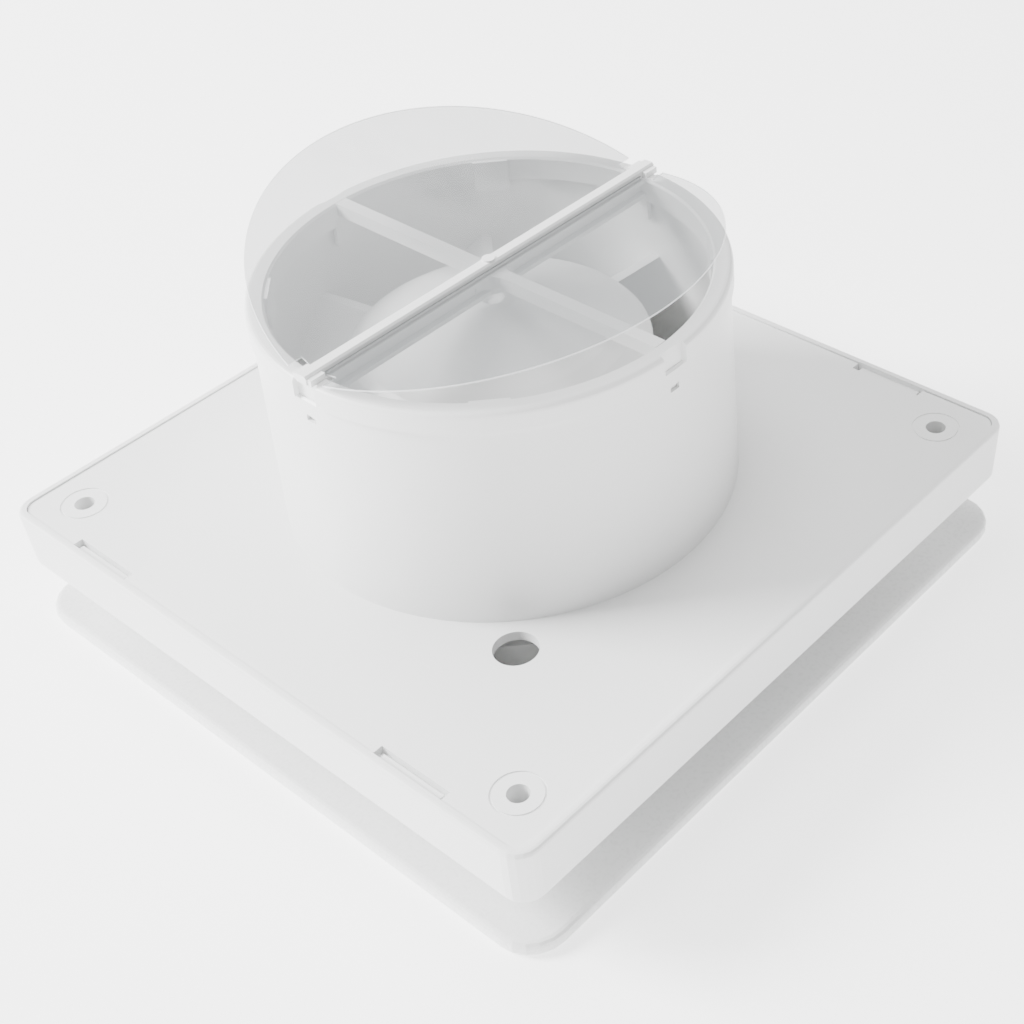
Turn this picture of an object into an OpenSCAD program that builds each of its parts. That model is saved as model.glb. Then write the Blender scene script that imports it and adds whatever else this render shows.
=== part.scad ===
// Axial window and wall exhaust fan: square cover with a flat front panel, round duct spigot with a
// two-flap backdraught damper on its outlet. The duct points along +Z; the front panel lies on Z = 0.
// All lengths in millimetres.

/* [Front panel] */
// How far the square front panel's sides lie inside the cover's rim
panel_inset = 0.5; // [0:0.1:2]
// Thickness of the front panel
panel_t = 3.4; // [2.5:0.1:5]
// Corner radius of the front panel
panel_corner_r = 8.6; // [5:0.5:10]
// Softening of the front panel's edges
panel_edge = 1.2; // [0.6:0.1:1.6]
// Distance of the panel posts from the cover's sides
post_inset = 23; // [22:0.5:25]
// Radius of a panel post where it plugs in
post_r = 3; // [2:0.1:3.5]
// Length of a post inside its socket
post_reach = 8.5; // [5:0.5:9]
// Radius of a post's shoulder
post_shoulder_r = 5; // [4:0.1:5.5]
// Chamfer on a post's tip
post_tip = 1; // [0.5:0.1:1.5]

/* [Cover] */
// Width of the square cover at its rim
cover_w = 158; // [154:0.5:164]
// Depth of the cover
cover_depth = 14.1; // [13:0.1:16]
// How far each wall leans in towards the front
cover_taper = 0.8; // [0.4:0.1:1.2]
// Thickness of the cover's side walls at the front
cover_wall = 2; // [1.6:0.1:2.4]
// Thickness of the cover's front wall
cover_front_t = 2; // [1.6:0.1:2.4]
// Corner radius of the cover
cover_corner_r = 5; // [4:0.5:8]
// Softening of the cover's rim
rim_edge = 0.9; // [0.5:0.1:1.2]
// Width of the rim that frames the back plate
rim_w = 1.85; // [1.6:0.05:2.2]
// Air gap between the cover and the front panel
air_gap = 12.5; // [9:0.5:16]
// Wall of the collar around the inlet
collar_wall = 1.5; // [1:0.1:2]
// Height of the collar above the cover's front
collar_h = 8.6; // [6:0.1:9]
// Wall of a post socket
socket_wall = 2; // [1.5:0.1:2.5]
// Height of a post socket
socket_h = 9.6; // [9.4:0.1:10]
// Width of the inlet grille's bars
grille_bar = 1.6; // [1.2:0.1:2]
// Depth of the inlet grille's bars
grille_t = 1.6; // [1.2:0.1:1.8]
// Radius of the grille's middle disc
grille_disc_r = 6; // [4:0.5:8]
// Width of a cover clip
clip_w = 16; // [14:0.1:16.4]
// Thickness of a cover clip's stem
clip_t = 1; // [0.8:0.05:1.2]
// Reach of a cover clip's hook
clip_hook = 0.8; // [0.7:0.05:0.9]
// Thickness of a cover clip's hook
clip_hook_t = 0.7; // [0.6:0.05:0.75]
// How far a clip's hook lies below the back plate's face
clip_drop = 0.9; // [0.85:0.05:1]

/* [Back plate and duct] */
// Thickness of the back plate
plate_t = 2.2; // [1.8:0.1:2.6]
// How deep the back plate lies below the cover's rim
plate_recess = 0.4; // [0.2:0.1:0.8]
// Outer radius of the duct spigot
duct_r = 50.3; // [50:0.1:50.6]
// Wall of the duct spigot
duct_wall = 1.6; // [1.4:0.1:1.8]
// Height of the duct spigot above the back plate
duct_h = 47.8; // [46:0.1:60]
// Length of the duct below the back plate
duct_tail = 9; // [8:0.1:9.2]
// Chamfer on the duct's outer lip
duct_lip = 0.4; // [0.2:0.1:0.6]
// Distance of the four wall screw holes from the cover's sides
screw_inset = 11.7; // [11:0.1:14]
// Radius of a wall screw hole
screw_hole_r = 2.25; // [2:0.05:2.6]
// Radius of the shallow ring around a wall screw hole
screw_pad_r = 5.4; // [4.5:0.1:6]
// Depth of that ring
screw_pad_t = 0.25; // [0.1:0.05:0.4]
// Radius of the boss under a wall screw hole
screw_boss_r = 4.6; // [4:0.1:5]
// Height of that boss
screw_boss_h = 4; // [2:0.5:6]
// Radius of the cable inlet hole
cable_hole_r = 4.75; // [4:0.05:5.5]
// Distance of the cable hole's middle from the duct's wall
cable_hole_gap = 7.82; // [7.5:0.01:9]
// Length of a clip slot
slot_len = 18.3; // [16:0.1:20]
// Depth of a clip slot
slot_depth = 2.25; // [2:0.05:2.4]
// Distance of a clip slot's middle from the cover's side
slot_inset = 30.8; // [29:0.1:35]
// Thickness of the catch at the bottom of a clip slot
catch_t = 0.5; // [0.4:0.05:0.55]
// Width of a snap window in the duct wall
window_w = 2.6; // [2.4:0.1:3]
// Height of a snap window
window_h = 1.4; // [1.2:0.1:1.6]
// Depth of the snap windows below the duct's lip
window_drop = 4.4; // [4:0.1:5]

/* [Guide vanes and motor cup] */
// Number of guide vanes
vane_count = 7; // [5:1:9]
// Direction of the first vane in degrees
vane_start_deg = 87; // [0:1:90]
// Lean of a vane from the duct's axis in degrees
vane_lean_deg = 49.6; // [30:0.1:55]
// Thickness of a vane
vane_t = 1.5; // [1.2:0.1:2]
// Height of the vanes
vane_h = 15; // [10:0.5:18]
// Height of the vanes' top edges above the back plate
vane_top_h = 31.4; // [31.4:0.1:40]
// Outer radius of the motor cup
cup_r = 33.2; // [33:0.1:34]
// Wall of the motor cup
cup_wall = 1.6; // [1.4:0.1:2]
// Height of the motor cup's floor above the back plate
cup_base_h = 10.4; // [10.4:0.1:16]
// Depth of the motor cup
cup_h = 21.4; // [21.4:0.1:22]
// Thickness of the motor cup's floor
cup_floor_t = 2; // [1.6:0.1:2.4]
// Radius of the hole in the motor cup's floor
cup_hole_r = 7; // [6.8:0.1:8]
// Height of the motor posts on the cup's floor
motor_post_h = 3.4; // [3.4:0.1:4]
// Radius of a motor post
motor_post_r = 2.6; // [2.5:0.1:2.7]
// Thickness of the rubber bushes under the motor
bush_t = 3; // [2.8:0.1:3.2]

/* [Motor cap] */
// Height of the cap's rim
cap_rim_h = 1; // [0.8:0.1:1.4]
// Rise of the cap's dome
cap_rise = 12; // [11:0.1:14]
// Wall of the cap
cap_wall = 1.5; // [1.2:0.1:1.8]
// Length of the cap's spigot inside the cup
cap_spigot_h = 2.4; // [2:0.1:3]
// Radius of the dimple in the cap's tip
cap_dimple_r = 2.5; // [2:0.1:3]
// Depth of that dimple
cap_dimple_h = 0.9; // [0.5:0.1:1.1]

/* [Motor] */
// Outer radius of the stator core
core_r = 25; // [24.8:0.1:25.2]
// Length of the stator core
core_h = 10; // [9.6:0.1:10.2]
// Width of the stator core's outer band
core_yoke_w = 7.2; // [7:0.1:7.3]
// Radius of the stator bore
bore_r = 12.5; // [12.4:0.05:12.6]
// Air gap between the rotor and the stator
air_gap_r = 0.35; // [0.3:0.01:0.5]
// Width of a stator pole
pole_w = 6; // [5.6:0.1:6.2]
// Width of a stator pole's shoe
shoe_w = 14; // [12:0.1:15]
// Depth of a stator pole's shoe
shoe_t = 2; // [1.8:0.1:2.1]
// Wall of a coil bobbin
bobbin_t = 0.8; // [0.6:0.05:1]
// Build-up of a coil around its bobbin
coil_t = 1.6; // [1.4:0.1:1.7]
// Radius of the motor shaft
shaft_r = 2; // [1.9:0.05:2.1]
// Length of the motor shaft
shaft_len = 47; // [46.8:0.1:48]
// Outer radius of a sleeve bearing
bearing_r = 4; // [3.8:0.1:4.2]
// Length of a sleeve bearing
bearing_h = 5; // [4.4:0.1:5]
// Wall of a bearing hub
hub_wall = 2; // [1.8:0.1:2.2]
// Sheet thickness of the end shields
shield_t = 1.6; // [1.4:0.1:1.6]
// Depth of the end shields
shield_h = 5.6; // [5.4:0.1:5.8]
// Radius of the end shields' cups
shield_r = 20; // [19.8:0.1:20.2]
// Radius of the circle of the motor screws
screw_circle_r = 22.9; // [22.8:0.1:23]
// Radius of a motor screw
motor_screw_r = 1.5; // [1.4:0.05:1.5]
// Radius of a motor screw's head
motor_head_r = 1.9; // [1.8:0.1:2]
// Height of a motor screw's head
motor_head_h = 1.8; // [1.6:0.1:2]
// Radius of a rotor bar
rotor_bar_r = 0.9; // [0.8:0.05:1]
// Number of rotor bars
rotor_bar_count = 8; // [6:1:12]
// Thickness of the rotor's end rings
end_ring_t = 1.2; // [1:0.1:1.3]
// Wall of a rotor spacer
spacer_wall = 1.4; // [1:0.1:1.8]

/* [Impeller] */
// Number of impeller blades
blade_count = 8; // [5:1:9]
// Chord of a blade
blade_chord = 20; // [16:0.5:21]
// Pitch of a blade in degrees
blade_pitch_deg = 40; // [30:1:45]
// Bend radius of a blade
blade_bend_r = 24; // [20:0.5:30]
// Thickness of a blade
blade_t = 1.3; // [1:0.1:1.6]
// Clearance between blade tips and duct
tip_gap = 1; // [0.8:0.1:1.5]
// Height of the impeller's hub
hub_h = 19; // [18.5:0.1:19.2]
// Wall of the impeller's hub
hub_shell_t = 1.5; // [1.3:0.1:1.8]
// Radius of the boss around the shaft
hub_boss_r = 5; // [4:0.1:6]
// Gap between the impeller's hub and the motor cup
hub_gap = 1; // [0.8:0.1:1.5]
// Depth of the well in the hub's nose
nose_well_h = 4; // [3.4:0.1:4.6]
// Thickness of the shaft clip
shaft_clip_t = 0.8; // [0.6:0.1:1]
// Radius of the shaft clip
shaft_clip_r = 4; // [3.5:0.1:4.5]

/* [Outlet ring and damper] */
// Height of the outlet ring above the duct's lip
ring_h = 4.6; // [4.4:0.1:6]
// How far the outlet ring stands out over the duct
ring_overhang = 0.7; // [0.5:0.05:0.8]
// How far the outlet ring's inside stands in from the duct's inside
ring_step = 1.9; // [1.7:0.05:2.3]
// Depth of that skirt
skirt_h = 1; // [0.8:0.1:2]
// Rounding of the outlet ring's outer top edge
ring_edge = 1.2; // [0.8:0.1:1.4]
// Chamfer of the outlet ring's inner top edge
ring_in_edge = 0.5; // [0.3:0.1:0.8]
// Width of the plain spoke
spoke_w = 3; // [2.6:0.1:3.4]
// Depth of the plain spoke
spoke_h = 3; // [2.4:0.1:3.6]
// Width of the hinge spoke's flanges
flange_w = 5; // [4.8:0.1:5.4]
// Thickness of the hinge spoke's flanges
flange_t = 1; // [0.9:0.05:1.2]
// Width of the hinge spoke's web
web_w = 2; // [1.6:0.1:2.4]
// Radius of the fillets between the hub and the spokes
hub_fillet_r = 4.1; // [3.6:0.1:4.4]
// Width of the flat pads at the spokes' ends
pad_w = 6.4; // [5.6:0.1:7]
// How far those pads lie inside the duct's outside
pad_set_in = 0.7; // [0.5:0.05:0.8]
// Width of a centring tab
tab_w = 8; // [7:0.1:9]
// Thickness of a centring tab
tab_t = 1.4; // [1.2:0.1:1.6]
// Height of a centring tab
tab_h = 7.6; // [6:0.1:8]
// Width of a snap finger
finger_w = 5.4; // [4.6:0.1:6]
// Thickness of a snap finger
finger_t = 1.1; // [0.9:0.05:1.1]
// Width of the clamp bar
bar_w = 3; // [2.8:0.05:3]
// Height of the clamp bar
bar_h = 2; // [1.6:0.1:2.4]
// Chamfer of the clamp bar
bar_edge = 0.4; // [0.2:0.05:0.5]
// Width of the clamp bar's end feet
foot_w = 5.2; // [4.6:0.1:5.6]
// Height of the clamp bar's end feet
foot_h = 1.4; // [1:0.1:1.6]
// Radius of the button in the middle of the clamp bar
button_r = 1.4; // [1:0.1:1.5]
// Height of that button
button_h = 0.4; // [0.2:0.1:0.6]
// Width of the clamp bar's square snap pin
bar_pin_w = 1.6; // [1.2:0.1:1.8]
// How far a film flap's rim lies inside the outlet ring's
film_set_in = 0.8; // [0.6:0.1:3]
// Thickness of a film flap
film_t = 0.36; // [0.3:0.02:0.4]
// Radius of the bead along a flap's hinge edge
bead_r = 0.5; // [0.45:0.01:0.55]
// Distance of a flap's hinge from the middle of the bar
hinge_offset = 1.7; // [1.65:0.01:1.75]
// Height of the flaps' hinges above the outlet ring
hinge_rise = 0.3; // [0.28:0.01:0.34]
// How far the left flap stands open, in degrees
left_open_deg = 20; // [0:1:60]
// How far the right flap stands open, in degrees
right_open_deg = 11; // [0:1:60]

/* [Wiring] */
// Length of the terminal block
block_len = 20; // [16:0.5:22]
// Width of the terminal block
block_w = 11; // [9:0.5:12]
// Height of the terminal block
block_h = 7.4; // [6:0.1:8]
// Gap between the terminal block and the cover's side wall
block_gap = 7.7; // [4:0.1:8]
// Distance of the terminal block from the cable hole's level
block_shift = 5.1; // [3:0.1:7]
// Radius of a wire hole in the terminal block
wire_hole_r = 1.4; // [1.2:0.1:1.6]
// Pitch of the terminals
terminal_pitch = 6; // [5:0.1:6.4]
// Radius of a terminal screw
terminal_screw_r = 1.3; // [1.1:0.1:1.4]
// Thickness of the cable clamp
clamp_t = 2.4; // [2:0.1:3]
// Length of the cable clamp
clamp_len = 16; // [15:0.5:18]
// Width of the cable clamp
clamp_w = 5; // [4:0.1:5.4]
// Distance of the cable clamp from the cable hole
clamp_lead = 9.9; // [9.4:0.1:11]
// Height of the space for a cable above the clamp
clamp_gap = 4.6; // [4:0.1:5]
// Radius of a small wiring screw
small_screw_r = 1.2; // [1:0.05:1.3]
// Radius of a small wiring screw's head
small_head_r = 2.2; // [2:0.1:2.4]
// Height of a small wiring screw's head
small_head_h = 1.4; // [1.2:0.1:1.6]

/* [Hidden] */

// Named clearances between pieces
seam_gap = 0.2;      // plate edge to rim, clip to slot
rest_gap = 0.05;     // faces that rest on each other across a joint
post_play = 0.06;    // panel post in its socket
skirt_play = 0.2;    // ring skirt in the duct
bearing_play = 0.03; // shaft in its bearings
bead_play = 0.06;    // flap bead in its groove
screw_play = 0.2;    // screw shank in a through hole
thread_play = 0.1;   // screw shank in its thread hole
part_gap = 0.15;     // loose neighbours inside the motor
weld = 0.3;          // overlap of features that are one moulding
over = 1;            // how far a cutting shape runs past a face
slice = 0.02;        // thickness of the slices of a softened block
fine = 72;           // circle steps of large rounds
mid = 36;            // circle steps of medium rounds
small = 18;          // circle steps of small rounds
corner_steps = 5;    // straight steps in a rounded corner
edge_steps = 3;      // straight steps in a softened edge

// Outlines as shares of a radius and a rise
cap_shares = [[1, 0], [0.992, 0.07], [0.95, 0.2], [0.88, 0.335], [0.78, 0.47], [0.64, 0.62], [0.48, 0.77],
  [0.32, 0.9], [0.2, 0.975], [0.15, 1]];
nose_shares = [[0, 0], [0.3, 0.02], [0.55, 0.09], [0.75, 0.21], [0.89, 0.4], [0.97, 0.65], [1, 1]];
nose_rise_share = 0.36;
slot_share = 0.25;
grip_share = 0.7;
dimple_share = 0.45;
grille_ring_shares = [0.36, 0.68];

// Heights above the front panel's face
z_cover = panel_t + air_gap;
z_rim = z_cover + cover_depth;
z_plate = z_rim - plate_recess;
z_under = z_plate - plate_t;
z_tail = z_under - duct_tail;
z_lip = z_plate + duct_h;
z_ring = z_lip + ring_h;
z_window = z_lip - window_drop;
z_vane = z_plate + vane_top_h;
z_cup = z_plate + cup_base_h;
z_floor = z_cup + cup_floor_t;
z_cap = z_cup + cup_h;
z_bush = z_floor + motor_post_h;
z_core = z_bush + bush_t + shield_t;
z_core_top = z_core + core_h;
z_hub_top = z_cup - hub_gap;
z_nose = z_hub_top - hub_h;
z_hinge = z_ring + hinge_rise;

// Half widths, radii and places
panel_w = cover_w - 2 * panel_inset;
post_offset = cover_w / 2 - post_inset;
screw_spacing = cover_w - 2 * screw_inset;
slot_offset = cover_w / 2 - slot_inset;
cable_hole_offset = (duct_r + cable_hole_gap) / sqrt(2);
plate_half = cover_w / 2 - rim_w - seam_gap / 2;
rim_half = cover_w / 2 - rim_w + seam_gap / 2;
inner_half = cover_w / 2 - cover_taper - cover_wall;
duct_in_r = duct_r - duct_wall;
ring_in_r = duct_in_r - ring_step;
ring_out_r = duct_r + ring_overhang;
film_r = ring_out_r - film_set_in;
block_x = inner_half - block_w / 2 - block_gap;
block_y = cable_hole_offset - block_shift;
clamp_x = cable_hole_offset + clamp_lead;
pad_r = duct_r - pad_set_in;
hub_half = hub_fillet_r + spoke_w / 2 - seam_gap / 2;
bead_half = ring_in_r - 2 * weld;
cup_in_r = cup_r - cup_wall;
rotor_r = bore_r - air_gap_r;
slot_y = plate_half - slot_depth;
yoke_in_r = core_r - core_yoke_w;
coil_x0 = bore_r + shoe_t + part_gap;

// How far out a sleeve of thickness t around a pole can reach inside the core's outer band
function yoke_reach(t) = sqrt(yoke_in_r * yoke_in_r - (pole_w / 2 + t) * (pole_w / 2 + t)) - part_gap;

// Points of a square of width w with rounded corners of radius r
function rounded(w, r) = [for (q = [0:3]) for (s = [0:corner_steps])
  let (a = 90 * (q + s / corner_steps), c = w / 2 - r, sx = (q == 0 || q == 3) ? 1 : -1, sy = q < 2 ? 1 : -1)
  [sx * c + r * cos(a), sy * c + r * sin(a)]];

// One thin slice of a softened block
module slab(w, r, z) {
  translate([0, 0, z]) linear_extrude(slice) polygon(rounded(w, r));
}

// A square block whose width goes from w0 to w1 and whose bottom and top edges are softened
module soft_block(w0, w1, r, h, e) {
  hull() for (s = [0:edge_steps]) {
    inset = e * (1 - sin(90 * s / edge_steps));
    up = e * (1 - cos(90 * s / edge_steps));
    slab(w0 - 2 * inset, r - inset, up);
    slab(w1 - 2 * inset, r - inset, h - up - slice);
  }
}

module tube(r_out, r_in, h, n = fine) {
  difference() {
    cylinder(r = r_out, h = h, $fn = n);
    translate([0, 0, -over]) cylinder(r = r_in, h = h + 2 * over, $fn = n);
  }
}

module corners(d) {
  for (sx = [-1, 1]) for (sy = [-1, 1]) translate([sx * d, sy * d, 0]) children();
}

// A box centred in X and Y that stands on z = 0
module post_box(x, y, h) {
  translate([-x / 2, -y / 2, 0]) cube([x, y, h]);
}

// A box centred in Y between two distances along +X
module arm(x0, x1, w, h) {
  translate([x0, -w / 2, 0]) cube([x1 - x0, w, h]);
}

module front_panel() {
  color("white") {
    soft_block(panel_w, panel_w, panel_corner_r, panel_t, panel_edge);
    corners(post_offset) {
      translate([0, 0, panel_t - weld]) cylinder(r = post_shoulder_r, h = air_gap + weld - rest_gap, $fn = mid);
      translate([0, 0, z_cover - rest_gap - weld]) cylinder(r = post_r, h = post_reach + weld - post_tip, $fn = mid);
      translate([0, 0, z_cover - rest_gap + post_reach - post_tip])
        cylinder(r1 = post_r, r2 = post_r - post_tip, h = post_tip, $fn = mid);
    }
  }
}

// Bars of the grille across the air inlet
module inlet_grille() {
  translate([0, 0, z_cover + (cover_front_t - grille_t) / 2]) {
    cylinder(r = grille_disc_r, h = grille_t, $fn = mid);
    for (k = grille_ring_shares)
      tube(duct_in_r * k + grille_bar / 2, duct_in_r * k - grille_bar / 2, grille_t, mid);
    for (a = [0:60:300]) rotate(a) arm(grille_disc_r - weld, duct_in_r + cover_front_t + weld, grille_bar, grille_t);
  }
}

// One clip of the cover, standing on the inside of the wall at +Y
module cover_clip() {
  translate([slot_offset, 0, 0]) {
    translate([-clip_w / 2, rim_half - clip_t, z_under - 2 * clip_hook_t])
      cube([clip_w, clip_t + weld, plate_t + 2 * clip_hook_t - clip_drop]);
    translate([-clip_w / 2, rim_half - clip_t - clip_hook, z_plate - clip_drop - clip_hook_t])
      cube([clip_w, clip_t + clip_hook + weld, clip_hook_t]);
  }
}

module front_cover() {
  color("white") {
    difference() {
      union() {
        difference() {
          translate([0, 0, z_cover]) soft_block(cover_w - 2 * cover_taper, cover_w, cover_corner_r, cover_depth, rim_edge);
          translate([0, 0, z_cover + cover_front_t])
            linear_extrude(cover_depth) polygon(rounded(2 * inner_half, cover_corner_r - cover_wall));
          translate([0, 0, z_under])
            linear_extrude(cover_depth) polygon(rounded(2 * rim_half, cover_corner_r - rim_w + seam_gap));
        }
        translate([0, 0, z_cover + weld]) cylinder(r = duct_r + seam_gap + collar_wall, h = collar_h - weld, $fn = fine);
        corners(post_offset) translate([0, 0, z_cover + weld])
          cylinder(r = post_r + post_play + socket_wall, h = socket_h - weld, $fn = mid);
        for (my = [0, 1]) mirror([0, my, 0]) for (mx = [0, 1]) mirror([mx, 0, 0]) cover_clip();
        // Walls of the wiring bay
        translate([duct_r + 2 * collar_wall, -cable_hole_offset + clamp_len, z_cover + weld])
          cube([inner_half - duct_r - 2 * collar_wall + weld, grille_bar, cover_front_t + clamp_t]);
      }
      // Air inlet with a rounded mouth, and the seat of the duct's tail in the collar
      translate([0, 0, z_cover]) rotate_extrude($fn = fine) polygon(concat(
        [[0, -over], [duct_in_r + cover_front_t, -over]],
        [for (s = [0:edge_steps]) let (a = 90 * s / edge_steps)
          [duct_in_r + cover_front_t - cover_front_t * sin(a), cover_front_t - cover_front_t * cos(a)]],
        [[duct_r + seam_gap, cover_front_t], [duct_r + seam_gap, collar_h + over], [0, collar_h + over]]));
      corners(post_offset) translate([0, 0, z_cover - over])
        cylinder(r = post_r + post_play, h = socket_h + 2 * over, $fn = mid);
    }
    inlet_grille();
  }
}

// The seven leaning guide vanes between the motor cup and the duct's wall
module guide_vanes() {
  intersection() {
    for (k = [0:vane_count - 1]) rotate(vane_start_deg + 360 * k / vane_count)
      translate([0, 0, z_vane]) rotate([vane_lean_deg, 0, 0])
        translate([cup_in_r, -vane_t / 2, -2 * vane_h]) cube([duct_in_r - cup_in_r + duct_wall, vane_t, 3 * vane_h]);
    translate([0, 0, z_vane - vane_h]) tube(duct_in_r, cup_r - weld, vane_h);
  }
}

module motor_posts() {
  for (a = [45:90:315]) rotate(a) translate([screw_circle_r, 0, 0]) children();
}

// Back plate of the housing, with its screw bosses, clip slots and cable hole
module housing() {
  color("white") {
    difference() {
      union() {
        translate([0, 0, z_under]) linear_extrude(plate_t)
          polygon(rounded(2 * plate_half, cover_corner_r - rim_w));
        corners(screw_spacing / 2) translate([0, 0, z_under - screw_boss_h])
          cylinder(r = screw_boss_r, h = screw_boss_h + weld, $fn = mid);
        // Bosses for the cable clamp's screws
        for (s = [-1, 1]) translate([clamp_x, -cable_hole_offset + s * (clamp_len - clamp_w) / 2, z_under - clamp_gap])
          cylinder(r = clamp_w / 2, h = clamp_gap + weld, $fn = small);
      }
      translate([0, 0, z_under - over]) cylinder(r = duct_r, h = plate_t + 2 * over, $fn = fine);
      corners(screw_spacing / 2) {
        translate([0, 0, z_under - screw_boss_h - over])
          cylinder(r = screw_hole_r, h = screw_boss_h + plate_t + 2 * over, $fn = mid);
        translate([0, 0, z_plate - screw_pad_t]) tube(screw_pad_r, screw_pad_r - 2 * screw_pad_t, over, mid);
      }
      translate([cable_hole_offset, -cable_hole_offset, z_under - over])
        cylinder(r = cable_hole_r, h = plate_t + 2 * over, $fn = mid);
      // Clip slots: a pocket over a thin catch, and the way through for the clip's stem
      for (sx = [-1, 1]) for (my = [0, 1]) mirror([0, my, 0]) translate([sx * slot_offset, slot_y, 0]) {
        translate([-slot_len / 2, 0, z_under + catch_t]) cube([slot_len, slot_depth + over, plate_t + over]);
        translate([-clip_w / 2 - seam_gap, slot_depth - clip_t, z_under - over])
          cube([clip_w + 2 * seam_gap, clip_t + over, plate_t + over]);
      }
      for (s = [-1, 1]) translate([clamp_x, -cable_hole_offset + s * (clamp_len - clamp_w) / 2, z_under - clamp_gap - over])
        cylinder(r = small_screw_r + thread_play, h = clamp_gap + over, $fn = small);
      translate([block_x, -block_y + terminal_pitch / 2, z_under - over])
        cylinder(r = small_screw_r + thread_play, h = over + plate_t * grip_share, $fn = small);
    }
  }
}

// The duct of the housing, with the snap windows under its lip
module duct_tube() {
  color("white") difference() {
    union() {
      translate([0, 0, z_tail]) cylinder(r = duct_r, h = z_lip - z_tail - duct_lip, $fn = fine);
      translate([0, 0, z_lip - duct_lip]) cylinder(r1 = duct_r, r2 = duct_r - duct_lip, h = duct_lip, $fn = fine);
    }
    translate([0, 0, z_tail - over]) cylinder(r = duct_in_r, h = z_lip - z_tail + 2 * over, $fn = fine);
    for (a = [0:90:270]) rotate(a) translate([duct_in_r - over, -window_w / 2, z_window - window_h / 2])
      cube([duct_wall + 2 * over, window_w, window_h]);
  }
}

// Motor cup on its guide vanes, the inner part of the housing
module motor_carrier() {
  color("white") {
    guide_vanes();
    difference() {
      translate([0, 0, z_cup]) cylinder(r = cup_r, h = cup_h, $fn = fine);
      translate([0, 0, z_floor]) cylinder(r = cup_in_r, h = cup_h, $fn = fine);
      translate([0, 0, z_cup - over]) cylinder(r = cup_hole_r, h = cup_floor_t + 2 * over, $fn = mid);
    }
    difference() {
      motor_posts() translate([0, 0, z_floor - weld]) cylinder(r = motor_post_r, h = motor_post_h + weld, $fn = mid);
      motor_posts() translate([0, 0, z_floor]) cylinder(r = motor_screw_r + thread_play, h = motor_post_h + over, $fn = small);
    }
  }
}

module motor_cap() {
  color("white") translate([0, 0, z_cap]) {
    difference() {
      rotate_extrude($fn = fine) polygon(concat([[0, 0], [cup_r, 0]],
        [for (p = cap_shares) [cup_r * p[0], cap_rim_h + cap_rise * p[1]]], [[0, cap_rim_h + cap_rise]]));
      rotate_extrude($fn = fine) polygon(concat([[0, -over], [cup_in_r, -over]],
        [for (p = cap_shares) [cup_in_r * p[0], cap_rim_h - cap_wall + cap_rise * p[1]]],
        [[0, cap_rim_h + cap_rise - cap_wall]]));
      translate([0, 0, cap_rim_h + cap_rise - cap_dimple_h])
        cylinder(r1 = cap_dimple_r * dimple_share, r2 = cap_dimple_r, h = cap_dimple_h + slice, $fn = mid);
    }
    translate([0, 0, -cap_spigot_h]) tube(cup_in_r - seam_gap, cup_in_r - seam_gap - cap_wall, cap_spigot_h + cap_rim_h);
  }
}

// A pressed end shield that stands on the stator core: flange, cup and bearing hub
module end_shield() {
  difference() {
    union() {
      cylinder(r = core_r, h = shield_t, $fn = fine);
      cylinder(r = shield_r, h = shield_h, $fn = fine);
      cylinder(r = bearing_r + hub_wall, h = shield_h - shield_t + bearing_h, $fn = mid);
    }
    translate([0, 0, -over]) cylinder(r = shield_r - shield_t, h = shield_h - shield_t + over, $fn = fine);
    translate([0, 0, -over]) cylinder(r = bearing_r, h = shield_h + bearing_h + 2 * over, $fn = mid);
    motor_posts() translate([0, 0, -over])
      cylinder(r = motor_screw_r + screw_play, h = shield_t + 2 * over, $fn = small);
  }
}

module front_end_shield() {
  color("silver") translate([0, 0, z_core]) mirror([0, 0, 1]) end_shield();
}

module rear_end_shield() {
  color("silver") translate([0, 0, z_core_top]) end_shield();
}

module stator_core() {
  color("dimgray") translate([0, 0, z_core]) difference() {
    union() {
      tube(core_r, yoke_in_r, core_h);
      for (a = [0:90:270]) rotate(a) {
        arm(bore_r - over, yoke_in_r + weld, pole_w, core_h);
        arm(bore_r - over, bore_r + shoe_t, shoe_w, core_h);
      }
    }
    translate([0, 0, -over]) cylinder(r = bore_r, h = core_h + 2 * over, $fn = fine);
    motor_posts() translate([0, 0, -over]) cylinder(r = motor_screw_r + screw_play, h = core_h + 2 * over, $fn = small);
  }
}

// A hollow box around one stator pole
module pole_sleeve(x0, x1, grow_in, grow_out) {
  translate([0, 0, z_core]) difference() {
    translate([x0, -pole_w / 2 - grow_out, -grow_out]) cube([x1 - x0, pole_w + 2 * grow_out, core_h + 2 * grow_out]);
    translate([x0 - over, -pole_w / 2 - grow_in, -grow_in]) cube([x1 - x0 + 2 * over, pole_w + 2 * grow_in, core_h + 2 * grow_in]);
  }
}

module coil_bobbins() {
  color("ivory") for (a = [0:90:270]) rotate(a) pole_sleeve(coil_x0, yoke_reach(bobbin_t), 0, bobbin_t);
}

module stator_coils() {
  color("peru") for (a = [0:90:270]) rotate(a)
    pole_sleeve(coil_x0, yoke_reach(bobbin_t + coil_t), bobbin_t, bobbin_t + coil_t);
}

module motor_screws() {
  color("silver") motor_posts() {
    translate([0, 0, z_floor + weld]) cylinder(r = motor_screw_r, h = z_core_top + shield_t - z_floor, $fn = small);
    difference() {
      translate([0, 0, z_core_top + shield_t]) cylinder(r = motor_head_r, h = motor_head_h, $fn = small);
      translate([0, 0, z_core_top + shield_t + motor_head_h * (1 - slot_share)])
        post_box(2 * motor_head_r + over, motor_head_r * slot_share, over);
    }
  }
}

module motor_bushes() {
  color("dimgray") motor_posts() translate([0, 0, z_bush])
    tube(motor_post_r, motor_screw_r + screw_play, bush_t, mid);
}

module front_bearing() {
  color("goldenrod") translate([0, 0, z_core - shield_h + shield_t - bearing_h])
    tube(bearing_r, shaft_r + bearing_play, bearing_h, mid);
}

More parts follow.
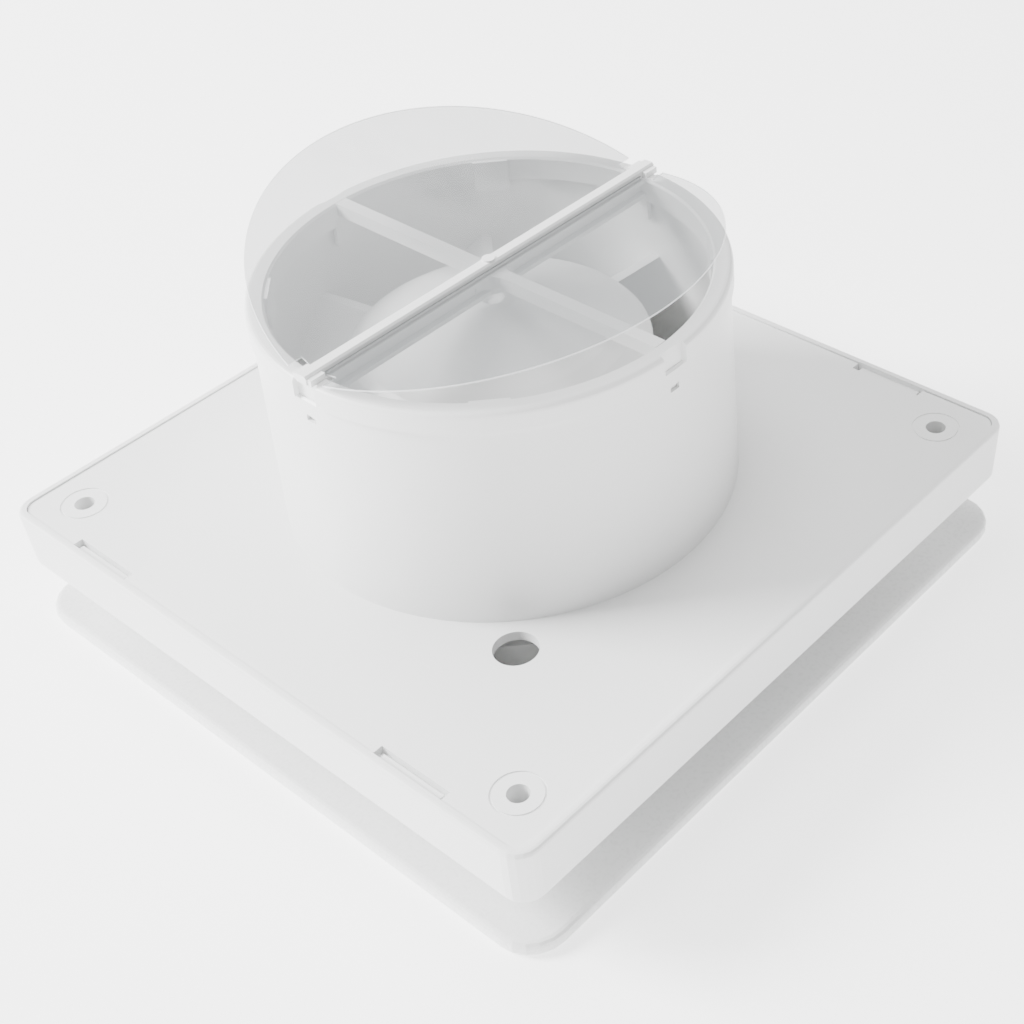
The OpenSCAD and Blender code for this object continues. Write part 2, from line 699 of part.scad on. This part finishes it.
module rear_bearing() {
  color("goldenrod") translate([0, 0, z_core_top + shield_h - shield_t])
    tube(bearing_r, shaft_r + bearing_play, bearing_h, mid);
}

module motor_shaft() {
  color("gainsboro") translate([0, 0, z_nose + nose_well_h - 2 * shaft_clip_t])
    cylinder(r = shaft_r, h = shaft_len, $fn = mid);
}

module rotor_bars() {
  for (k = [0:rotor_bar_count - 1]) rotate(360 * k / rotor_bar_count)
    translate([rotor_r - rotor_bar_r - 2 * part_gap, 0, 0]) children();
}

module rotor_core() {
  color("dimgray") translate([0, 0, z_core]) difference() {
    tube(rotor_r, shaft_r, core_h);
    rotor_bars() translate([0, 0, -over]) cylinder(r = rotor_bar_r + part_gap, h = core_h + 2 * over, $fn = small);
  }
}

module rotor_cage() {
  color("silver") {
    for (z = [z_core - end_ring_t, z_core_top]) translate([0, 0, z])
      tube(rotor_r, rotor_r - 2 * rotor_bar_r - 4 * part_gap, end_ring_t);
    rotor_bars() translate([0, 0, z_core - weld]) cylinder(r = rotor_bar_r, h = core_h + 2 * weld, $fn = small);
  }
}

// Sleeves on the shaft that keep the rotor between its two bearings
module rotor_spacers() {
  color("white") {
    translate([0, 0, z_core - shield_h + shield_t + rest_gap])
      tube(shaft_r + spacer_wall, shaft_r, shield_h - shield_t - rest_gap, mid);
    translate([0, 0, z_core_top]) tube(shaft_r + spacer_wall, shaft_r, shield_h - shield_t - rest_gap, mid);
  }
}

// One bent blade: a strip of a tube whose axis runs along the duct's radius
module blade() {
  sag = blade_bend_r - sqrt(blade_bend_r * blade_bend_r - blade_chord * blade_chord / 4);
  rotate([blade_pitch_deg, 0, 0]) intersection() {
    translate([cup_in_r, 0, sag / 2 - blade_bend_r]) rotate([0, 90, 0])
      tube(blade_bend_r + blade_t / 2, blade_bend_r - blade_t / 2, duct_in_r - cup_in_r, fine);
    translate([0, -blade_chord / 2, -sag - blade_t]) cube([duct_r, blade_chord, 2 * sag + 2 * blade_t]);
  }
}

// Outline of the hub's outside: a domed nose that faces the air inlet and a straight skirt
module hub_outside(r, h, lift) {
  rotate_extrude($fn = fine) polygon(concat(
    [for (p = nose_shares) [r * p[0], lift + hub_h * nose_rise_share * p[1]]], [[r, h], [0, h]]));
}

module impeller() {
  color("whitesmoke") {
    intersection() {
      for (k = [0:blade_count - 1]) rotate(360 * k / blade_count)
        translate([0, 0, (z_nose + z_hub_top) / 2 + blade_t / 2]) blade();
      translate([0, 0, z_nose]) tube(duct_in_r - tip_gap, cup_r - hub_shell_t / 2, hub_h);
    }
    translate([0, 0, z_nose]) difference() {
      union() {
        difference() {
          hub_outside(cup_r, hub_h, 0);
          hub_outside(cup_r - hub_shell_t, hub_h + over, hub_shell_t);
        }
        cylinder(r = shaft_clip_r + seam_gap + hub_shell_t, h = nose_well_h + hub_shell_t, $fn = mid);
        translate([0, 0, nose_well_h]) cylinder(r = hub_boss_r, h = hub_h - nose_well_h, $fn = mid);
        // Ribs from the boss to the shell
        for (a = [0:60:300]) rotate(a) translate([0, 0, hub_h * nose_rise_share * nose_shares[4][1] + hub_shell_t / 2])
          arm(hub_boss_r - weld, cup_r * nose_shares[4][0] - hub_shell_t / 2, hub_shell_t, hub_h / 2);
      }
      translate([0, 0, -over]) cylinder(r = shaft_clip_r + seam_gap, h = nose_well_h + over, $fn = mid);
      translate([0, 0, -over]) cylinder(r = shaft_r, h = hub_h + 2 * over, $fn = mid);
    }
  }
}

// Push-on clip under the impeller's boss, with notches around its rim
module shaft_clip() {
  color("silver") translate([0, 0, z_nose + nose_well_h - shaft_clip_t]) difference() {
    tube(shaft_clip_r, shaft_r, shaft_clip_t, mid);
    for (a = [0:60:300]) rotate(a) translate([shaft_clip_r, 0, -over])
      post_box(shaft_clip_r * slot_share, shaft_clip_r * slot_share, shaft_clip_t + 2 * over);
  }
}

module hinge_grooves() {
  for (s = [-1, 1]) translate([s * hinge_offset, bead_half + part_gap, z_hinge]) rotate([90, 0, 0])
    cylinder(r = bead_r + bead_play, h = 2 * (bead_half + part_gap), $fn = small);
}

module valve_ring() {
  color("white") {
    difference() {
      union() {
        // Ring with a rounded top edge and a short skirt inside the duct
        rotate_extrude($fn = fine) polygon(concat(
          [[ring_in_r, z_lip - skirt_h], [duct_in_r - skirt_play, z_lip - skirt_h], [duct_in_r - skirt_play, z_lip], [ring_out_r, z_lip]],
          [for (s = [0:edge_steps + 1]) let (a = 90 * s / (edge_steps + 1))
            [ring_out_r - ring_edge + ring_edge * cos(a), z_ring - ring_edge + ring_edge * sin(a)]],
          [[ring_in_r + ring_in_edge, z_ring], [ring_in_r, z_ring - ring_in_edge]]));
        // Plain spoke and hub
        for (a = [0, 180]) rotate(a) translate([0, 0, z_ring - spoke_h]) arm(0, ring_in_r + weld, spoke_w, spoke_h);
        translate([0, 0, z_lip]) cylinder(r = web_w + spoke_w / 2, h = ring_h, $fn = mid);
        translate([0, 0, z_ring - spoke_h - rest_gap]) difference() {
          post_box(2 * hub_half, 2 * hub_half, spoke_h);
          corners(hub_half) translate([0, 0, -over]) cylinder(r = hub_fillet_r, h = spoke_h + 2 * over, $fn = mid);
        }
        // Hinge spoke: two flanges on a web
        for (a = [90, 270]) rotate(a) {
          translate([0, 0, z_ring - flange_t]) arm(0, ring_in_r + weld, flange_w, flange_t);
          translate([0, 0, z_lip]) arm(0, ring_in_r + weld, web_w, ring_h - flange_t / 2);
          translate([0, 0, z_lip]) arm(0, ring_in_r + weld, flange_w, flange_t);
        }
        // Snap fingers and centring tabs
        for (a = [0:90:270]) rotate(a) {
          translate([0, 0, z_window - window_h]) arm(ring_in_r, ring_in_r + finger_t, finger_w, z_ring - z_window - window_h);
          translate([0, 0, z_window - window_h / 2 + seam_gap])
            arm(ring_in_r + weld, pad_r, window_w - 2 * seam_gap, window_h - 2 * seam_gap);
        }
        for (a = [45:90:315]) rotate(a) translate([0, 0, z_ring - tab_h - seam_gap * 2])
          arm(ring_in_r - tab_t + weld * 2, ring_in_r + weld * 2, tab_w, tab_h);
      }
      // Flat pads, cut back behind the duct's lip
      for (a = [0:90:270]) rotate(a) translate([0, 0, z_lip - over]) arm(pad_r, ring_out_r + over, pad_w, ring_h + 2 * over);
      hinge_grooves();
      translate([0, 0, z_lip - over])
        post_box(bar_pin_w + 2 * thread_play, bar_pin_w + 2 * thread_play, ring_h + 2 * over);
    }
  }
}

module flap_clamp_bar() {
  color("white") {
    difference() {
      union() {
        translate([0, 0, z_ring]) rotate([90, 0, 0]) translate([0, 0, -ring_out_r]) linear_extrude(2 * ring_out_r)
          polygon([[-bar_w / 2, rest_gap], [bar_w / 2, rest_gap], [bar_w / 2, bar_h - bar_edge],
            [bar_w / 2 - bar_edge, bar_h], [bar_edge - bar_w / 2, bar_h], [-bar_w / 2, bar_h - bar_edge]]);
        for (s = [-1, 1]) translate([0, s * (ring_in_r + ring_out_r) / 2, z_ring])
          post_box(foot_w, ring_out_r - ring_in_r - 2 * weld, foot_h);
        translate([0, 0, z_ring + bar_h / 2]) cylinder(r = button_r, h = button_h + bar_h / 2, $fn = small);
        translate([0, 0, z_lip]) post_box(bar_pin_w, bar_pin_w, ring_h + weld);
      }
      hinge_grooves();
    }
  }
}

// One half-moon film flap, closed and pointing along +X from its hinge at the origin
module film_flap() {
  intersection() {
    difference() {
      translate([-hinge_offset, 0, -film_t / 2]) cylinder(r = film_r, h = film_t, $fn = fine);
      for (s = [-1, 1]) translate([foot_w / 2 - hinge_offset, s * film_r, -over])
        post_box(foot_w, 2 * (film_r - ring_in_r + weld), 2 * over);
    }
    translate([0, 0, -over]) arm(0, film_r, 2 * film_r, 2 * over);
  }
  translate([0, bead_half, 0]) rotate([90, 0, 0]) cylinder(r = bead_r, h = 2 * bead_half, $fn = small);
}

module left_flap() {
  color([0.85, 0.88, 0.9, 0.4]) translate([-hinge_offset, 0, z_hinge]) rotate([0, left_open_deg, 0]) mirror([1, 0, 0]) film_flap();
}

module right_flap() {
  color([0.85, 0.88, 0.9, 0.4]) translate([hinge_offset, 0, z_hinge]) rotate([0, -right_open_deg, 0]) film_flap();
}

module terminal_holes() {
  for (s = [-1, 0, 1]) translate([0, s * terminal_pitch, 0]) children();
}

module terminal_block() {
  color("white") translate([block_x, -block_y, z_under - block_h]) difference() {
    post_box(block_w, block_len, block_h);
    terminal_holes() {
      translate([block_w, 0, block_h / 2]) rotate([0, -90, 0]) cylinder(r = wire_hole_r, h = 2 * block_w, $fn = small);
      for (s = [-1, 1]) translate([s * block_w * slot_share, 0, -over])
        cylinder(r = terminal_screw_r + thread_play, h = block_h / 2 + over, $fn = small);
    }
    for (s = [-1, 1]) translate([0, s * terminal_pitch / 2, -over])
      cylinder(r = small_screw_r + screw_play, h = block_h + 2 * over, $fn = small);
  }
}

module terminal_screws() {
  color("silver") translate([block_x, -block_y, z_under - block_h]) terminal_holes()
    for (s = [-1, 1]) translate([s * block_w * slot_share, 0, seam_gap]) difference() {
      cylinder(r = terminal_screw_r, h = block_h / 2 - wire_hole_r * slot_share, $fn = small);
      translate([0, 0, terminal_screw_r * slot_share - over])
        post_box(2 * terminal_screw_r + over, terminal_screw_r * slot_share, over);
    }
}

// A wiring screw whose head's seat is on z = 0 and whose head hangs below
module small_screw(len) {
  cylinder(r = small_screw_r, h = len, $fn = small);
  difference() {
    translate([0, 0, -small_head_h]) cylinder(r = small_head_r, h = small_head_h, $fn = small);
    translate([0, 0, -small_head_h * (1 - slot_share) - over]) post_box(2 * small_head_r + over, small_head_r * slot_share, over);
  }
}

module block_screw() {
  color("silver") translate([block_x, -block_y + terminal_pitch / 2, z_under - block_h])
    small_screw(block_h + plate_t * grip_share - thread_play);
}

module cable_clamp() {
  color("white") translate([clamp_x, -cable_hole_offset, z_under - clamp_gap - clamp_t]) difference() {
    post_box(clamp_w, clamp_len, clamp_t);
    translate([-clamp_w, 0, clamp_t + clamp_gap / 2]) rotate([0, 90, 0]) cylinder(r = clamp_gap / 2 + clamp_t / 2, h = 2 * clamp_w, $fn = mid);
    for (s = [-1, 1]) translate([0, s * (clamp_len - clamp_w) / 2, -over])
      cylinder(r = small_screw_r + screw_play, h = clamp_t + 2 * over, $fn = small);
  }
}

module clamp_screws() {
  color("silver") for (s = [-1, 1])
    translate([clamp_x, -cable_hole_offset + s * (clamp_len - clamp_w) / 2, z_under - clamp_gap - clamp_t])
      small_screw(clamp_t + clamp_gap - weld);
}

housing();
duct_tube();
motor_carrier();
front_cover();
front_panel();
motor_cap();
front_end_shield();
rear_end_shield();
stator_core();
coil_bobbins();
stator_coils();
motor_screws();
motor_bushes();
front_bearing();
rear_bearing();
motor_shaft();
rotor_core();
rotor_cage();
rotor_spacers();
impeller();
shaft_clip();
valve_ring();
flap_clamp_bar();
left_flap();
right_flap();
terminal_block();
terminal_screws();
block_screw();
cable_clamp();
clamp_screws();
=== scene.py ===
import math

import bpy
from mathutils import Matrix, Vector

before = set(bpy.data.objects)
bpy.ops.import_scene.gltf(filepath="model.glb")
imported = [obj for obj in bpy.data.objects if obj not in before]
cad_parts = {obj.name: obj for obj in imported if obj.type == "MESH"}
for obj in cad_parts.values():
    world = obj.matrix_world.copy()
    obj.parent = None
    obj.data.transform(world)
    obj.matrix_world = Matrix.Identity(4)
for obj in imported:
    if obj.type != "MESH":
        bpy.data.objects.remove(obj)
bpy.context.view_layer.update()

# Housing, motor cap, cover, panel, outlet ring and clamp bar: injection moulded white ABS. Their
# faces carry a fine spark texture and a faint waviness from the mould, and the colour drifts a
# little across a face, so that highlights break up softly.


def colour(hex_code):
    """An sRGB hex colour as the linear RGBA that shader sockets take."""
    parts = [int(hex_code[k:k + 2], 16) / 255 for k in (1, 3, 5)]
    return [c / 12.92 if c <= 0.04045 else ((c + 0.055) / 1.055) ** 2.4 for c in parts] + [1.0]


def add_node(tree, kind, links=(), **settings):
    """Adds a shader node. Settings are attributes or inputs, with __ for a space in an input's
    name, and links are pairs of an output and the input that it feeds."""
    node = tree.nodes.new(kind)
    for key, value in settings.items():
        key = key.replace("__", " ")
        if hasattr(node, key):
            setattr(node, key, value)
        else:
            node.inputs[key].default_value = value
    for output, socket in links:
        tree.links.new(output, node.inputs[socket])
    return node


def new_material(name):
    """An empty material, its node tree and its texture coordinates."""
    material = bpy.data.materials.new(name)
    material.use_nodes = True
    material.node_tree.nodes.clear()
    return material, material.node_tree, add_node(material.node_tree, "ShaderNodeTexCoord")


def noise(tree, place, size_mm, **settings):
    """The value of a noise with blotches about size_mm across."""
    return add_node(tree, "ShaderNodeTexNoise", [(place, "Vector")],
                    Scale=1000 / size_mm, **settings).outputs["Fac"]


def between(tree, factor, first, second):
    """A colour that goes from one hex code to another with factor."""
    mix_a, mix_b, mix_result = 6, 7, 2
    mix = add_node(tree, "ShaderNodeMix", [(factor, "Factor")], data_type="RGBA")
    mix.inputs[mix_a].default_value = colour(first)
    mix.inputs[mix_b].default_value = colour(second)
    return mix.outputs[mix_result]


def spread(tree, factor, low, high):
    """A value that goes from low to high with factor."""
    return add_node(tree, "ShaderNodeMapRange", [(factor, "Value")],
                    To__Min=low, To__Max=high).outputs["Result"]


def relief(tree, height, depth_mm, links=()):
    """A normal bent by a height that is at most depth_mm."""
    return add_node(tree, "ShaderNodeBump", [(height, "Height"), *links],
                    Strength=1.0, Distance=depth_mm / 1000).outputs["Normal"]


def add_skin(tree, links=(), **settings):
    """The surface shader of a material, joined to its output."""
    skin = add_node(tree, "ShaderNodeBsdfPrincipled", links, **settings)
    add_node(tree, "ShaderNodeOutputMaterial", [(skin.outputs["BSDF"], "Surface")])


def moulded_plastic(name, base, tone, rough, grain, wave):
    """A moulded plastic whose colour drifts from base to tone. Grain, the mould's texture, and
    wave, its waviness, are each a size and a depth in millimetres."""
    drift_mm, gloss_reach, plastic_ior = 45, 0.05, 1.52
    material, tree, coords = new_material(name)
    place = coords.outputs["Object"]
    drift = noise(tree, place, drift_mm, Detail=3.0, Roughness=0.5)
    grain_height = noise(tree, place, grain[0], Detail=2.0, Roughness=0.6)
    wave_height = noise(tree, place, wave[0], Detail=1.0, Roughness=0.4)
    wavy = relief(tree, wave_height, wave[1])
    add_skin(tree, [
        (between(tree, drift, base, tone), "Base Color"),
        (spread(tree, grain_height, rough - gloss_reach, rough + gloss_reach), "Roughness"),
        (relief(tree, grain_height, grain[1], [(wavy, "Normal")]), "Normal"),
    ], IOR=plastic_ior)
    return material


def dress(material, *nodes):
    """Gives CAD nodes this one material."""
    for node in nodes:
        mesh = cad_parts[node].data
        mesh.materials.clear()
        mesh.materials.append(material)


# Satin: broad soft highlights down the duct and over the back plate.
dress(moulded_plastic("white ABS, satin", "#F0F0EF", "#EBECEC", 0.34, (0.7, 0.006), (22, 0.05)),
      "housing", "duct_tube", "motor_carrier", "motor_cap")
# Fine texture: the cover's walls look a shade drier than the duct.
dress(moulded_plastic("white ABS, fine texture", "#EFEFEE", "#EAEBEB", 0.4,
                      (0.6, 0.008), (26, 0.06)), "front_cover")
# Polished: the panel is the face that the room sees, and the glossiest.
dress(moulded_plastic("white ABS, polished", "#F1F1F0", "#EDEEEE", 0.28,
                      (0.9, 0.003), (30, 0.05)), "front_panel")
# Outlet ring: a small moulding, with shorter and shallower waves.
dress(moulded_plastic("white ABS, outlet ring", "#F1F1F0", "#ECEDED", 0.36,
                      (0.6, 0.005), (15, 0.03)), "valve_ring", "flap_clamp_bar")

# Impeller, shaft spacers, terminal block, cable clamp and coil bobbins: plainer mouldings behind
# the grille and under the back plate, duller and a little warmer in colour.
dress(moulded_plastic("off-white polypropylene", "#E9E9E4", "#E3E4E0", 0.42,
                      (0.8, 0.006), (18, 0.05)), "impeller")
dress(moulded_plastic("white polyamide", "#E8E8E4", "#E2E2DC", 0.45, (0.5, 0.008), (12, 0.03)),
      "terminal_block", "cable_clamp", "rotor_spacers")
dress(moulded_plastic("natural nylon", "#E4DCC6", "#DCD2B8", 0.45, (0.5, 0.008), (12, 0.03)),
      "coil_bobbins")

# Motor: laminated core and rotor, pressed shields, copper windings, bronze sleeve bearings, steel
# shaft, screws and clip, a die-cast rotor cage, and the rubber bushes that it stands on.


def bare_metal(name, base, tone, rough, streak_mm, depth_mm, along=(1, 1, 1)):
    """A bare metal whose colour and gloss vary together in fine streaks. A small number in along
    draws the streaks out in that direction."""
    gloss_reach = 0.08
    material, tree, coords = new_material(name)
    lay = add_node(tree, "ShaderNodeMapping", [(coords.outputs["Object"], "Vector")])
    lay.inputs["Scale"].default_value = along
    streak = noise(tree, lay.outputs["Vector"], streak_mm, Detail=4.0)
    add_skin(tree, [
        (between(tree, streak, base, tone), "Base Color"),
        (spread(tree, streak, rough - gloss_reach, rough + gloss_reach), "Roughness"),
        (relief(tree, streak, depth_mm), "Normal"),
    ], Metallic=1.0)
    return material


# Zinc: the cloudy, slightly blue grey of plated sheet.
dress(bare_metal("zinc-plated steel sheet", "#C9CBCC", "#B9BCBE", 0.32, 4, 0.004),
      "front_end_shield", "rear_end_shield")
# Laminations: thin dark lines around the stack, like the edges of its sheets.
dress(bare_metal("varnished laminations", "#5A5C5E", "#3E4042", 0.45, 0.5, 0.03, (0.05, 0.05, 1)),
      "stator_core", "rotor_core")
dress(bare_metal("zinc-plated screw steel", "#BFC2C4", "#A9ACAF", 0.3, 1.2, 0.004),
      "motor_screws", "terminal_screws", "block_screw", "clamp_screws", "shaft_clip")
# Ground steel: the brightest metal, its faint marks drawn out along the shaft.
dress(bare_metal("ground steel", "#D0D1D2", "#BDBFC1", 0.18, 0.6, 0.001, (1, 1, 0.1)),
      "motor_shaft")
dress(bare_metal("die-cast aluminium", "#C8C9CB", "#B4B6B9", 0.4, 1.5, 0.01), "rotor_cage")
# Copper: darker and lighter turns of wire, lying side by side.
dress(bare_metal("enamelled copper wire", "#B86A34", "#8C431C", 0.3, 0.35, 0.05, (0.15, 0.15, 1)),
      "stator_coils")
for bearing in ("front_bearing", "rear_bearing"):
    dress(bare_metal("sintered bronze", "#A9824A", "#8C6636", 0.42, 0.4, 0.01), bearing)
dress(moulded_plastic("black rubber", "#17181A", "#101113", 0.75, (0.6, 0.02), (10, 0.05)),
      "motor_bushes")

# Backdraught flaps: clear half discs of film, each held by a bead along its straight edge. Film
# this thin greys what is behind it a little, and its cut rim gathers light into a bright line,
# which the near-white colour of the rim and bead paints in as a painted highlight.


def film_sheet(name, lean_deg):
    """Clear film that leans lean_deg from level. Its rim and bead, the faces that don't lie in
    its plane, are denser, and their brighter colour is a painted highlight."""
    face_dot, rim_dot = 0.9, 0.5
    face_alpha, rim_alpha = 0.3, 0.6
    ripple_mm, ripple_depth_mm = 35, 0.4
    lean = math.radians(lean_deg)
    material, tree, coords = new_material(name)
    facing = add_node(tree, "ShaderNodeVectorMath", [(coords.outputs["Normal"], 0)],
                      operation="DOT_PRODUCT")
    facing.inputs[1].default_value = (math.sin(lean), 0, math.cos(lean))
    flat = add_node(tree, "ShaderNodeMath", [(facing.outputs["Value"], 0)], operation="ABSOLUTE")
    rim = add_node(tree, "ShaderNodeMapRange", [(flat.outputs["Value"], "Value")],
                   From__Min=face_dot, From__Max=rim_dot).outputs["Result"]
    ripple = noise(tree, coords.outputs["Object"], ripple_mm, Detail=2.0, Roughness=0.45)
    add_skin(tree, [
        # Painted highlight: the rim and bead go from the film's grey to near white.
        (between(tree, rim, "#8E9193", "#F4F6F7"), "Base Color"),
        (spread(tree, rim, face_alpha, rim_alpha), "Alpha"),
        (relief(tree, ripple, ripple_depth_mm), "Normal"),
    ], Roughness=0.08, IOR=1.5, Specular__IOR__Level=1.0)
    return material


dress(film_sheet("clear film, left flap", 20), "left_flap")
dress(film_sheet("clear film, right flap", -11), "right_flap")

# Studio: the fan lies on a plain white sweep that glows a little, as an overexposed paper
# background does, with soft boxes at the upper left and overhead.
reach = 6
floor_mesh = bpy.data.meshes.new("floor")
floor_mesh.from_pydata([(-reach, -reach, 0), (reach, -reach, 0), (reach, reach, 0),
                        (-reach, reach, 0)], [], [(0, 1, 2, 3)])
floor = bpy.data.objects.new("floor", floor_mesh)
bpy.context.collection.objects.link(floor)
white = (1, 1, 1, 1)
paper, paper_tree, _ = new_material("white paper sweep")
add_skin(paper_tree, Base__Color=colour("#FAFAFA"), Roughness=0.9,
         Emission__Color=white, Emission__Strength=1.6)
floor_mesh.materials.append(paper)

world = bpy.data.worlds.new("studio")
bpy.context.scene.world = world
world.use_nodes = True
sky = world.node_tree.nodes["Background"]
sky.inputs["Color"].default_value = white
sky.inputs["Strength"].default_value = 0.8


def soft_box(name, place, side, watts):
    """A square lamp at place that points at the fan's middle."""
    middle = Vector((0, 0, 0.04))
    data = bpy.data.lights.new(name, "AREA")
    data.shape = "RECTANGLE"
    data.size = data.size_y = side
    data.energy = watts
    lamp = bpy.data.objects.new(name, data)
    lamp.location = place
    lamp.rotation_euler = (middle - Vector(place)).to_track_quat("-Z", "Y").to_euler()
    bpy.context.collection.objects.link(lamp)


soft_box("key", (-0.95, -0.75, 0.85), 0.6, 72.0)
soft_box("top", (-0.2, 0.2, 1.3), 1.0, 18.0)

# Camera: turned, tilted, rolled and shifted as fitted to the photograph, whose middle isn't the
# middle of the view. Distance and aim are in halves of the cover's side.
plate_z, half_side = 0.0296, 0.079
azimuth, elevation, roll = math.radians(43.06), math.radians(31.31), math.radians(-3.906)
distance, aim_x, aim_y = 6.3865, -0.5343, 1.1788
focal_px, centre_px, frame_px, sensor_mm = 1889.6, (643.94, 230.03), 1024, 36
back = Vector((math.sin(azimuth) * math.cos(elevation),
               -math.cos(azimuth) * math.cos(elevation), math.sin(elevation)))
right = Vector((math.cos(azimuth), math.sin(azimuth), 0))
up = back.cross(right)
rolled_right = right * math.cos(roll) + up * math.sin(roll)
rolled_up = up * math.cos(roll) - right * math.sin(roll)
camera_data = bpy.data.cameras.new("camera")
camera_data.sensor_width = sensor_mm
camera_data.lens = focal_px / frame_px * sensor_mm
camera_data.shift_x = (frame_px / 2 - centre_px[0]) / frame_px
camera_data.shift_y = (centre_px[1] - frame_px / 2) / frame_px
camera_data.clip_start = 0.01
camera = bpy.data.objects.new("camera", camera_data)
spot = Vector((aim_x * half_side, aim_y * half_side, plate_z)) + back * distance * half_side
turn = Matrix((rolled_right, rolled_up, back)).transposed().to_4x4()
camera.matrix_world = Matrix.Translation(spot) @ turn
bpy.context.collection.objects.link(camera)
bpy.context.scene.camera = camera
